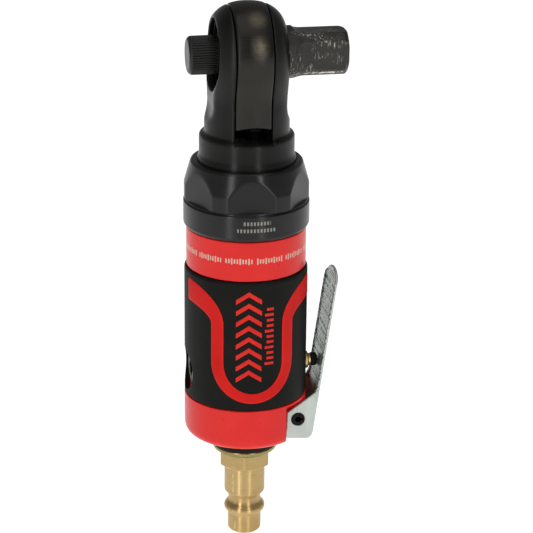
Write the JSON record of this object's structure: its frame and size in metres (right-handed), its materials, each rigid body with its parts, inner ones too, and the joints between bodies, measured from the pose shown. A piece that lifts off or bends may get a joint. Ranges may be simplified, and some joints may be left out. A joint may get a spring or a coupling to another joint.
{
  "type": "air ratchet wrench",
  "caption": "Slim in-line air ratchet: square drive through a round swinging yoke head, reversing knob, hex clamp nut, red body with rubber grip, side lever and rear air plug.",
  "frame": {"origin": "centre of the square drive's end face, on the drive spindle's axis", "axes": "+X along the drive spindle, out of the square drive; +Z along the tool's body, from the air inlet to the ratchet head; the throttle lever is on the +X side; +Y completes the right-handed frame"},
  "size_m": [0.0486, 0.0382, 0.1715],
  "materials": {
    "black_steel": "black phosphated forged steel, fine grind lines, oiled satin",
    "nut_black": "gloss black oxide, turned",
    "drive_steel": "dark phosphated steel, scratched and bright on its worn edges",
    "hard_steel": "ground hardened steel",
    "spring_steel": "bright spring wire and strip",
    "zinc_steel": "satin zinc-plated pressed sheet with sheared edges",
    "red_paint": "semi-gloss red enamel on the aluminium housing",
    "grip_rubber": "matt moulded rubber, black with red band",
    "seal_rubber": "matt black nitrile rubber",
    "brass": "turned brass, fine tool lines",
    "olive_brass": "tarnished turned brass",
    "bronze": "sintered bronze",
    "aluminium": "honed aluminium",
    "composite": "fibre-reinforced phenolic",
    "black_plastic": "matt black moulded plastic",
    "felt": "pressed grey felt"
  },
  "bodies": {
    "tool_body": {"motor_housing": "red_paint", "grip_sleeve": "grip_rubber", "head_housing": "black_steel", "clamp_nut": "nut_black", "spindle_cover_plate": "drive_steel", "head_retaining_ring": "spring_steel", "crank_bearing": "bronze", "ring_gear": "drive_steel", "front_end_plate": "drive_steel", "front_rotor_bearing": "hard_steel", "cylinder_liner": "aluminium", "rear_end_plate": "drive_steel", "rear_rotor_bearing": "hard_steel", "cylinder_dowel": "hard_steel", "lever_pin": "drive_steel", "valve_bushing": "brass", "stem_o_ring": "seal_rubber", "valve_seat": "seal_rubber", "valve_spring": "spring_steel", "valve_cap": "brass", "exhaust_deflector": "black_plastic", "exhaust_silencer": "felt", "deflector_washer": "olive_brass", "inlet_plug": "brass", "inlet_screen": "bronze"},
    "yoke": {"ratchet_yoke": "black_steel"},
    "spindle": {"drive_spindle": "drive_steel", "pawl_pin": "hard_steel", "socket_ball_spring": "spring_steel"},
    "pawl": {"pawl": "hard_steel"},
    "knob": {"reverse_knob": "drive_steel", "detent_spring": "spring_steel"},
    "detent": {"detent_pin": "hard_steel"},
    "ball": {"socket_ball": "hard_steel"},
    "crank": {"crankshaft": "hard_steel", "planet_pin_1": "hard_steel", "planet_pin_2": "hard_steel", "planet_pin_3": "hard_steel"},
    "bushing": {"drive_bushing": "hard_steel"},
    "planet_1": {"planet_gear_1": "hard_steel"},
    "planet_2": {"planet_gear_2": "hard_steel"},
    "planet_3": {"planet_gear_3": "hard_steel"},
    "rotor": {"rotor": "hard_steel", "rotor_blade_1": "composite", "rotor_blade_2": "composite", "rotor_blade_3": "composite", "rotor_blade_4": "composite", "rotor_blade_5": "composite"},
    "lever": {"trigger_lever": "zinc_steel"},
    "valve": {"valve_stem": "brass", "stem_cap": "black_plastic", "valve_poppet": "brass"}
  },
  "joints": [
    {"name": "yoke_swing", "type": "hinge", "parent": "tool_body", "child": "yoke", "pos_m": [-0.0295, 0, 0], "axis": [-1, 0, 0], "range_deg": [-6.3, 6.3]},
    {"name": "spindle_turn", "type": "hinge", "parent": "tool_body", "child": "spindle", "pos_m": [-0.0295, 0, 0], "axis": [1, 0, 0], "continuous": true},
    {"name": "knob_turn", "type": "hinge", "parent": "spindle", "child": "knob", "pos_m": [-0.0295, 0, 0], "axis": [1, 0, 0], "range_deg": [0, 60]},
    {"name": "pawl_rock", "type": "hinge", "parent": "spindle", "child": "pawl", "pos_m": [-0.0295, 0, 0.0058], "axis": [1, 0, 0], "range_deg": [-15, 0]},
    {"name": "detent_press", "type": "slide", "parent": "knob", "child": "detent", "axis": [0, 0.5, 0.866], "range_m": [-0.0006, 0], "stiffness_N_per_m": 200, "springref_m": 0.001, "deforming": ["detent_spring"]},
    {"name": "ball_press", "type": "slide", "parent": "spindle", "child": "ball", "axis": [0, 1, 0], "range_m": [-0.0009, 0], "stiffness_N_per_m": 400, "springref_m": 0.001, "deforming": ["socket_ball_spring"]},
    {"name": "crank_turn", "type": "hinge", "parent": "tool_body", "child": "crank", "pos_m": [-0.0295, 0, -0.035], "axis": [0, 0, 1], "continuous": true},
    {"name": "bushing_spin", "type": "hinge", "parent": "crank", "child": "bushing", "pos_m": [-0.0275, 0, -0.0192], "axis": [0, 0, 1], "continuous": true},
    {"name": "planet_1_spin", "type": "hinge", "parent": "crank", "child": "planet_1", "pos_m": [-0.0214, 0, -0.0518], "axis": [0, 0, 1], "continuous": true},
    {"name": "planet_2_spin", "type": "hinge", "parent": "crank", "child": "planet_2", "pos_m": [-0.03355, 0.00701, -0.0518], "axis": [0, 0, 1], "continuous": true},
    {"name": "planet_3_spin", "type": "hinge", "parent": "crank", "child": "planet_3", "pos_m": [-0.03355, -0.00701, -0.0518], "axis": [0, 0, 1], "continuous": true},
    {"name": "rotor_turn", "type": "hinge", "parent": "tool_body", "child": "rotor", "pos_m": [-0.0295, 0, -0.073], "axis": [0, 0, 1], "continuous": true},
    {"name": "lever_pull", "type": "hinge", "parent": "tool_body", "child": "lever", "pos_m": [-0.014, 0, -0.116], "axis": [0, -1, 0], "range_deg": [0, 8], "stiffness_Nm_per_rad": 0.6, "springref_deg": -8.59},
    {"name": "valve_slide", "type": "slide", "parent": "tool_body", "child": "valve", "axis": [-1, 0, 0], "range_m": [0, 0.0025], "deforming": ["valve_spring"]}
  ],
  "couplings": [
    {"joint": "pawl_rock", "follows": "knob_turn", "ratio": -0.25},
    {"joint": "planet_1_spin", "follows": "crank_turn", "ratio": -2.8},
    {"joint": "planet_2_spin", "follows": "crank_turn", "ratio": -2.8},
    {"joint": "planet_3_spin", "follows": "crank_turn", "ratio": -2.8},
    {"joint": "rotor_turn", "follows": "crank_turn", "ratio": 4.5},
    {"joint": "valve_slide", "follows": "lever_pull", "m_per_rad": 0.01719}
  ]
}
